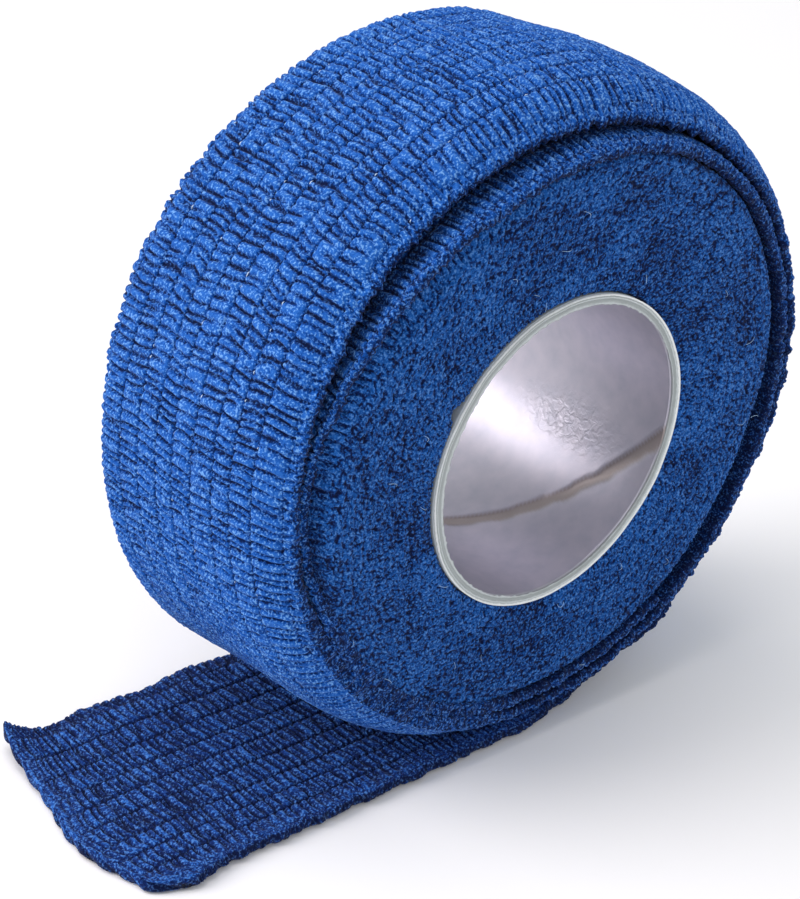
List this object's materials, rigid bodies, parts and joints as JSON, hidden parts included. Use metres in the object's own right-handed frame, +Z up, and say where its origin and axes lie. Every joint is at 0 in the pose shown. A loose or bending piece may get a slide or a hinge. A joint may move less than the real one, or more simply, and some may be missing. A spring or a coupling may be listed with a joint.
{
  "type": "cohesive bandage roll",
  "caption": "Narrow crepe cohesive bandage wound on a paper tube, standing on its edge with a short loose end laid out flat.",
  "frame": {"origin": "on the resting plane, straight under the roll's axis and half way across the bandage's width", "axes": "+Z up, +Y along the roll's axis from the front face to the back face, +X away from the loose end's cut edge"},
  "size_m": [0.0739, 0.026, 0.0642],
  "materials": {
    "crepe_cloth": "matt blue elastic crepe with a self-adherent latex coating",
    "crepe_cloth_inside": "matt darker blue crepe, the inner side of the cloth",
    "paperboard": "pale grey wound paperboard with a satin inner ply"
  },
  "bodies": {
    "root": {"core_tube": "paperboard", "wound_roll": "crepe_cloth", "loose_end": "crepe_cloth_inside"}
  },
  "joints": []
}
